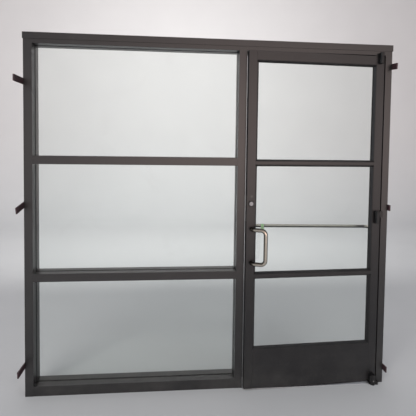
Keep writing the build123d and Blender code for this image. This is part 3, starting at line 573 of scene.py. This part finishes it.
def shim_material():
    """Dull red-brown moulded plastic: cloudy, finely grained and dusty on top."""
    dark, light = (0.026, 0.012, 0.016, 1), (0.058, 0.026, 0.032, 1)
    dust_tone = (0.20, 0.18, 0.17, 1)
    made, tree, shader, place = material("shim_plastic")
    cloud = noise(tree, place, 55.0, 5.0, Roughness=0.7)
    colour = mix_colour(tree, ramp(tree, cloud, 0.32, 0.68), dark, light)
    colour = mix_colour(tree, dusty(tree, place, 30.0, 0.1, 0.5), colour, dust_tone)
    feed(tree, shader.inputs, {"Base Color": colour,
                               "Roughness": ramp(tree, cloud, 0.3, 0.7, 0.5, 0.7)})
    bump(tree, shader, noise(tree, place, 800.0, 2.0), 0.00012)
    return made


# Dark anodised finishes, as darker tone, lighter tone and shine
BRONZE = (0.0070, 0.0067, 0.0073, 1), (0.0110, 0.0104, 0.0108, 1), 0.74
LEAF = (0.0068, 0.0066, 0.0074, 1), (0.0100, 0.0096, 0.0104, 1), 0.56
# Glass stops: the leaf's anodised bronze in a darker copy, painted shade for their recess
SHADED_BEAD = (0.0055, 0.0052, 0.0058, 1), (0.0080, 0.0076, 0.0080, 1), 0.50
# Which way the drawn lines run
UP_LINES, SIDE_LINES = (1.0, 1.0, 0.008), (0.008, 1.0, 1.0)

frame_upright = extrusion_material("bronze_upright", UP_LINES, *BRONZE)
frame_rail = extrusion_material("bronze_rail", SIDE_LINES, *BRONZE)
leaf_upright = extrusion_material("bronze_leaf_upright", UP_LINES, *LEAF)
lock_upright = extrusion_material("bronze_lock_stile", UP_LINES, *LEAF, smudge=True)
leaf_rail = extrusion_material("bronze_leaf_rail", SIDE_LINES, *LEAF, turn=-ajar)
# Painted shade: the stops are the leaf's bronze made darker than the leaf itself
shaded_bead = extrusion_material("bronze_stop_painted_shade", SIDE_LINES, *SHADED_BEAD, rough=0.38, turn=-ajar)
# Near-black paint on the pivots, rose, thumb turn and cylinder rims: partly their own dark paint,
# partly painted shade where the pivots sit under the head
casting_paint_and_shade = painted_material("casting_paint_and_shade", (0.0045, 0.0042, 0.0044, 1),
                                 (0.0085, 0.0080, 0.0082, 1), rough=0.46)
threshold_metal = metal_material("mill_aluminium", (0.72, 0.73, 0.74, 1), (0.86, 0.87, 0.88, 1),
                                 0.40, SIDE_LINES, fineness=900.0, grain=0.00003)
block_metal = metal_material("block_aluminium", (0.50, 0.50, 0.49, 1), (0.62, 0.62, 0.61, 1),
                             0.42, UP_LINES)
steel = metal_material("plated_steel", (0.36, 0.36, 0.35, 1), (0.52, 0.52, 0.50, 1),
                       0.30, UP_LINES)
dark_screw = metal_material("blackened_steel", (0.06, 0.055, 0.05, 1), (0.12, 0.11, 0.10, 1),
                            0.36, UP_LINES)
chrome = metal_material("satin_chrome", (0.20, 0.215, 0.23, 1), (0.26, 0.28, 0.30, 1),
                        0.30, UP_LINES)
# Pull: bright where it faces outdoors, dark on its sides; partly wear, partly painted highlight and
# painted shade
handle_metal = metal_material("handle_metal", (0.50, 0.44, 0.37, 1), (0.60, 0.54, 0.46, 1),
                              0.18, UP_LINES, tarnish=0.15, patina_and_shade=(0.080, 0.070, 0.056, 1))
# Push bar: bright on its upper side, dark below; partly wear, partly painted highlight on top and
# painted shade underneath
bar_metal = metal_material("push_bar_metal", (0.64, 0.60, 0.52, 1), (0.74, 0.70, 0.62, 1),
                           0.18, SIDE_LINES, turn=-ajar, tarnish=0.10,
                           patina_and_shade=(0.075, 0.068, 0.056, 1), worn_and_highlit_side=("Z", 0.0, 0.30))
glass = glass_material()
rubber = rubber_material()
pile = pile_material()
shim_finish = shim_material()
tag_paper = painted_material("green_tag", (0.34, 0.57, 0.27, 1), (0.44, 0.68, 0.36, 1), rough=0.6)

FINISHES = {
    frame_upright: ["left_jamb", "centre_mullion", "hinge_jamb", "lock_side_stop",
                    "hinge_side_stop"],
    frame_rail: ["sidelight_sill", "sidelight_head", "door_head", "lower_crossbar",
                 "upper_crossbar", "head_receptor", "head_stop"],
    leaf_upright: ["hinge_stile"],
    lock_upright: ["lock_stile"],
    leaf_rail: ["top_rail", "bottom_rail", "lower_muntin", "upper_muntin"],
    shaded_bead: ["outer_glass_stops", "inner_glass_stops"],
    casting_paint_and_shade: ["top_pivot_frame_part", "mid_pivot_frame_part", "bottom_pivot_base",
                    "top_pivot_leaf_part", "mid_pivot_leaf_part", "bottom_pivot_leaf_part",
                    "cylinder_ring", "thumb_rose", "thumb_turn"],
    threshold_metal: ["threshold"],
    block_metal: ["joint_blocks", "corner_blocks"],
    steel: ["pivot_pins", "tie_rods", "tie_rod_nuts", "bolt_pin", "handle_bolts", "lock_case",
            "hook_bolt", "strike_plate", "lock_faceplate"],
    chrome: ["lock_cylinder", "key_plug"],
    handle_metal: ["pull_handle"],
    bar_metal: ["push_bar"],
    glass: SIDE_PANES + LEAF_PANES,
    rubber: ["sidelight_gaskets", "sidelight_setting_blocks", "door_gaskets",
             "door_setting_blocks"],
    pile: ["brush_strips"],
    shim_finish: ["wall_shims"],
}
for finish, names in FINISHES.items():
    for name in names:
        nodes[name].data.materials.clear()
        nodes[name].data.materials.append(finish)


# Pieces that the CAD solids only stand in for, and small trim that they leave out

def gasket_section(mouth, lip, glass_face, groove_face):
    """Half of a glazing gasket as (inward, depth) points: flat on the glass out to its lip,
    then a quarter ellipse back to the groove's mouth: inward = mouth + lip cos t and
    depth = glass_face + (groove_face - glass_face) sin t."""
    t = np.linspace(0, math.pi / 2, 7)
    nose = zip(mouth + lip * np.cos(t), glass_face + (groove_face - glass_face) * np.sin(t))
    return [(0.0, glass_face), *nose, (0.0, groove_face)]


def side_gaskets():
    """Rubber on both sides of each sidelight pane, carried round it with mitred corners."""
    outer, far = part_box("sidelight_gaskets")
    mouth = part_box("left_jamb")[1].x - outer.x
    section = gasket_section(mouth, side_lip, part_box("sidelight_upper_glass")[1].y, far.y)
    parts = []
    for name in SIDE_PANES:
        low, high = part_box(name)
        grow = low.x - outer.x
        for side in (-1, 1):
            parts.append(mitred_ring(section, low.x - grow, high.x + grow, low.z - grow,
                                     high.z + grow, side))
    piece = make_piece("sidelight_rubber", parts, "frame", rubber)
    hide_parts("sidelight_gaskets")


def leaf_gaskets():
    """Rubber on both sides of each leaf pane, with a small rounded lip above the stops."""
    far = closed_box("door_gaskets")[1][1]
    parts = []
    for name in LEAF_PANES:
        low, high = closed_box(name)
        middle = (low[1] + high[1]) / 2
        section = gasket_section(leaf_bite, leaf_lip, high[1] - middle, far - middle)
        for side in (-1, 1):
            parts.append(mitred_ring(section, low[0], high[0], low[2], high[2], side, middle))
    piece = make_piece("leaf_rubber", parts, "door_leaf", rubber, on_leaf=True)
    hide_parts("door_gaskets")


def brush_pile():
    """Pile in the front groove of each stop: a backing strip with rows of thin blades."""
    parts = []
    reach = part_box("lock_side_stop")[0].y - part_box("brush_strips")[0].y
    for name, seed in (("lock_side_stop", 1), ("hinge_side_stop", 2), ("head_stop", 3)):
        low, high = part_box(name)
        up, right = Vector((0, 0, 1)), Vector((1, 0, 0))
        if name == "head_stop":
            along, across, stop_length, short = right, up, high.x - low.x, head_pile_short
        else:
            along, across, stop_length, short = up, right, high.z - low.z, 0.0
        middle = Vector(((low.x + high.x) / 2, low.y, (low.z + high.z) / 2))
        start = np.array(middle - along * stop_length / 2)
        length = stop_length - short
        ends = np.array([start + side * backing_half * np.array(across) + (0, depth, 0)
                         for depth, side in ((backing_front, -1), (backing_front, 1),
                                             (backing_back, 1), (backing_back, -1))])
        parts.append(capped(np.stack([ends, ends + length * np.array(along)]), 2, 4))
        parts.append(pile_strip(start + (0, pile_foot, 0), along, length, (0, -1, 0),
                                pile_width * np.array(across), pile_rows,
                                reach + backing_front, pile_pitch, seed))
    piece = make_piece("brush_pile", parts, "frame", pile, smooth=False)
    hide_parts("brush_strips")


def handles():
    """Pull handle and push bar as smooth tubes on the routes of their CAD pieces, with a set
    screw under each foot, and the tag on the bar."""
    low, high = closed_box("pull_handle")
    r = pull_radius
    x0, x1, z0, z1 = low[0] + r, high[0] - r, low[2] + r, high[2] - r
    foot, front = high[1], low[1] + r
    corners = [(x0, foot, z1), (x0, foot - pull_stub, z1), (x1, front, z1), (x1, front, z0),
               (x0, foot - pull_stub, z0), (x0, foot, z0)]
    bends = [pull_stub_bend, pull_grip_bend, pull_grip_bend, pull_stub_bend]
    grip = tube(rounded_route(corners, bends), r, 40)
    piece = make_piece("pull_tube", [grip], "door_leaf", handle_metal,
                       on_leaf=True)
    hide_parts("pull_handle")
    bar_low, bar_high = closed_box("push_bar")
    b = bar_radius
    lock_end = np.array((bar_low[0] + b, bar_low[1], bar_high[2] - b))
    hinge_end = np.array((bar_high[0] - b, bar_low[1], bar_low[2] + b))
    out = np.array((0, bar_high[1] - b - bar_low[1], 0))
    route = rounded_route([lock_end, lock_end + out, hinge_end + out, hinge_end],
                          [bar_bend, bar_bend])
    piece = make_piece("push_bar_tube", [tube(route, b, 36)], "door_leaf",
                       bar_metal, on_leaf=True)
    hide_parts("push_bar")
    places = [(x0, foot - set_screw_in, z - r + set_screw_sink) for z in (z0, z1)]
    places += [end + (0, set_screw_in, set_screw_sink - b) for end in (lock_end, hinge_end)]
    heads = [screw_head(place, (0, 0, -1), *set_screw, recess="hexagon") for place in places]
    make_piece("set_screws", heads, "door_leaf", dark_screw, on_leaf=True)
    paper_tag(lock_end + out, hinge_end + out)


def paper_tag(start, end):
    """Paper tag stuck round the push bar: a band, and a flap that hangs from it. Down the
    flap, t = 0..1, a point moves by lean * t sideways and drop * t down, and curls outdoors
    by curl * t^2."""
    along = (end - start) / np.linalg.norm(end - start)
    place = start + along * tag_from_end
    outer = bar_radius + tag_lift
    flap_top = -0.8 * outer  # The flap starts low on the bar's outdoor side
    profile = [(bar_radius, 0.0), (outer, 0.0), (outer, tag_width), (bar_radius, tag_width)]
    band = turned_ring(profile, place, along, 36)
    t = np.linspace(0, 1, 9)[:, None]
    path = place + np.concatenate([tag_lean * t, -tag_curl * t ** 2, flap_top - tag_drop * t], 1)
    corners = np.array([(0, 0, 0), (tag_width, 0, 0), (tag_width, tag_lift, 0), (0, tag_lift, 0)])
    flap = capped(path[:, None] + corners[None], len(t), 4)
    make_piece("paper_tag", [band, flap], "door_leaf", tag_paper, on_leaf=True)


def lock_collar():
    """Dark rim pressed over the edge of the lock cylinder's face: it falls from its inner
    edge to its outer one along a quarter circle."""
    low, high = closed_box("lock_cylinder")
    centre = np.array(((low[0] + high[0]) / 2, low[1], (low[2] + high[2]) / 2))
    outer = (high[0] - low[0]) / 2
    t = np.linspace(0, math.pi / 2, 9)
    brow = zip(collar_inner + (outer - collar_inner) * np.sin(t), collar_rise * np.cos(t))
    rim = turned_ring([(collar_inner, 0.0), *brow], centre, (0, -1, 0))
    make_piece("lock_collar", [rim], "door_leaf", casting_paint_and_shade, on_leaf=True)


def screw_pair(places, normal, turns, size=plate_screw):
    """Heads at two places on one face, each with its cross turned its own way."""
    return [screw_head(place, normal, *size, turn=turn) for place, turn in zip(places, turns)]


def frame_screws():
    """Countersunk heads on the pivots' plates, the strike and the threshold."""
    plate, strike, threshold = (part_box(name) for name in ("mid_pivot_frame_part", "strike_plate",
                                                          "threshold"))
    plate_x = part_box("hinge_jamb")[0].x - pivot_plate
    heads = screw_pair([(plate_x, front_screws_y, plate[0].z + jamb_plate_inset),
                        (plate_x, front_screws_y, plate[1].z - jamb_plate_inset)],
                       (-1, 0, 0), (0.3, 1.1))
    middle_y = (strike[0].y + strike[1].y) / 2
    heads += screw_pair([(strike[1].x, middle_y, strike[0].z + strike_inset),
                         (strike[1].x, middle_y, strike[1].z - strike_inset)],
                        (1, 0, 0), (0.7, 0.2))
    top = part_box("top_pivot_frame_part")
    left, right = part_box("centre_mullion")[1].x + first_floor_screw, top[0].x - last_floor_screw
    rows, floor_z = (front_screws_y, back_screws_y), threshold[1].z - screw_sink
    turn_each, turn_across = 0.5, 9
    for k, x in enumerate(np.linspace(left, right, floor_screw_pairs)):
        heads += screw_pair([(x, y, floor_z) for y in rows], (0, 0, 1),
                            [turn_each * k + turn_across * y for y in rows], floor_screw)
    plate_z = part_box("door_head")[0].z - pivot_plate
    across = [top[0].x + inset for inset in head_plate_screws]
    heads += screw_pair([(x, front_screws_y, plate_z) for x in across], (0, 0, -1), across)
    make_piece("frame_screws", heads, "frame", dark_screw)


def leaf_screws():
    """The screw on the bottom pivot's knuckle, and heads on the faceplate and the rose."""
    knuckle = closed_box("bottom_pivot_leaf_part")[0]
    place = (pivot.x, knuckle[1] + screw_sink, knuckle[2] + pivot_screw_up)
    make_piece("bottom_pivot_screw", [screw_head(place, (0, -1, 0), *pivot_screw, turn=0.5)],
               "door_leaf", steel, on_leaf=True)
    low, high = closed_box("lock_faceplate")
    middle_y = (low[1] + high[1]) / 2
    heads = screw_pair([(low[0], middle_y, low[2] + faceplate_inset),
                        (low[0], middle_y, high[2] - faceplate_inset)], (-1, 0, 0), (0.9, 0.4))
    low, high = closed_box("thumb_rose")
    x, z = (low[0] + high[0]) / 2, (low[2] + high[2]) / 2
    heads += screw_pair([(x - rose_screw_out, high[1], z), (x + rose_screw_out, high[1], z)],
                        (0, 1, 0), (-1, 1), rose_screw)
    make_piece("leaf_screws", heads, "door_leaf", dark_screw, on_leaf=True)


side_gaskets()
leaf_gaskets()
brush_pile()
handles()
lock_collar()
frame_screws()
leaf_screws()


# Stage and light

def make_stage():
    """Pale floor that rises behind the object: flat, then a quarter arc, then upright."""
    half_width, near, far, radius, top, arc_points = 45.0, -5.5, 7.0, 2.0, 12.0, 24
    dark, light = (0.575, 0.580, 0.590, 1), (0.620, 0.625, 0.632, 1)
    a = np.linspace(0, math.pi / 2, arc_points)
    y = np.concatenate([[near], far - radius + radius * np.sin(a), [far]])
    z = np.concatenate([[0.0], radius - radius * np.cos(a), [top]])
    x = np.array([-half_width, half_width])
    points = np.stack([np.broadcast_to(x[None], (len(y), 2)),
                       np.broadcast_to(y[:, None], (len(y), 2)),
                       np.broadcast_to(z[:, None], (len(y), 2))], -1)
    mesh = bpy.data.meshes.new("floor")
    mesh.from_pydata(points.reshape(-1, 3).tolist(), [], grid_faces(len(y), 2))
    mesh.polygons.foreach_set("use_smooth", np.ones(len(mesh.polygons), bool))
    floor = bpy.data.objects.new("floor", mesh)
    bpy.context.scene.collection.objects.link(floor)
    made, tree, shader, place = material("pale_floor")
    feed(tree, shader.inputs, {"Base Color": mix_colour(tree, noise(tree, place, 1.3, 5.0),
                                                        dark, light), "Roughness": 0.9})
    mesh.materials.append(made)


def make_world():
    """Soft light all round. The surroundings are brightest at eye height, dimmer overhead,
    below and to the right, and have two soft patches: each is full within a quarter of its
    half-sizes and fades out towards them. The camera and the glass see plain pale grey there."""
    surroundings, plain_grey = (0.56, 0.58, 0.62, 1), (0.54, 0.54, 0.55, 1)
    least_below, least_above, least_right, overhead = 0.25, 0.45, 0.45, 0.40
    world = bpy.data.worlds.new("studio")
    bpy.context.scene.world = world
    world.use_nodes = True
    tree = world.node_tree
    way = add(tree, "ShaderNodeTexCoord").outputs["Generated"]
    parts = add(tree, "ShaderNodeSeparateXYZ", {0: way}).outputs
    below = ramp(tree, parts["Z"], -0.35, 0.0, least_below, 1.0)
    above = ramp(tree, parts["Z"], 0.06, 0.25, 1.0, least_above)
    right = ramp(tree, parts["X"], 0.55, 0.95, 1.0, least_right)
    sky = ramp(tree, parts["Z"], 0.35, 0.90, 0.0, overhead)
    level = math_node(tree, "MULTIPLY", math_node(tree, "MULTIPLY", below, above), right)
    level = math_node(tree, "ADD", level, sky)
    colour = mix_colour(tree, level, (0.0, 0.0, 0.0, 1), surroundings)
    for centre, size, tint in (warm_patch, cool_patch):
        offset = vector_math(tree, "SUBTRACT", (way, centre))
        offset = vector_math(tree, "DIVIDE", (offset, size))
        away = vector_math(tree, "LENGTH", (offset,), "Value")
        colour = mix_colour(tree, ramp(tree, away, 1.0, 0.25), colour, tint)
    path = add(tree, "ShaderNodeLightPath").outputs
    seen = math_node(tree, "MAXIMUM", path["Is Camera Ray"], path["Is Transmission Ray"])
    seen = math_node(tree, "MAXIMUM", seen, path["Is Singular Ray"])
    feed(tree, tree.nodes["Background"].inputs, {
        "Color": mix_colour(tree, seen, colour, plain_grey), "Strength": 1.0})


def make_lamps():
    """Lamps that add a soft shadow and don't show in glass or metal."""
    for name, place, aim, size, power, colour in lamps:
        light = bpy.data.lights.new(name, "AREA")
        light.shape, light.size, light.energy, light.color = "SQUARE", size, power, colour
        lamp = bpy.data.objects.new(name, light)
        bpy.context.scene.collection.objects.link(lamp)
        lamp.location = place
        lamp.rotation_euler = (Vector(aim) - Vector(place)).to_track_quat("-Z", "Y").to_euler()
        lamp.visible_camera = lamp.visible_glossy = lamp.visible_transmission = False


def make_camera():
    """Camera turned by yaw, then pitch, then roll, with the picture's rise as a shift."""
    data = bpy.data.cameras.new("camera")
    camera = bpy.data.objects.new("camera", data)
    bpy.context.scene.collection.objects.link(camera)
    forward = Vector((math.sin(camera_yaw) * math.cos(camera_pitch),
                      math.cos(camera_yaw) * math.cos(camera_pitch), math.sin(camera_pitch)))
    level = Vector((math.cos(camera_yaw), -math.sin(camera_yaw), 0))
    upward = level.cross(forward)
    right = math.cos(camera_roll) * level + math.sin(camera_roll) * upward
    up = -math.sin(camera_roll) * level + math.cos(camera_roll) * upward
    turn = Matrix((right, up, -forward)).transposed().to_4x4()
    camera.matrix_world = Matrix.Translation(camera_place) @ turn
    data.sensor_width = sensor
    data.lens = focal_pixels / image_pixels * sensor
    data.shift_y = -rise_pixels / image_pixels
    data.clip_end = 100.0
    bpy.context.scene.camera = camera


make_stage()
make_world()
make_lamps()
make_camera()
bpy.context.scene.view_settings.view_transform = "Standard"
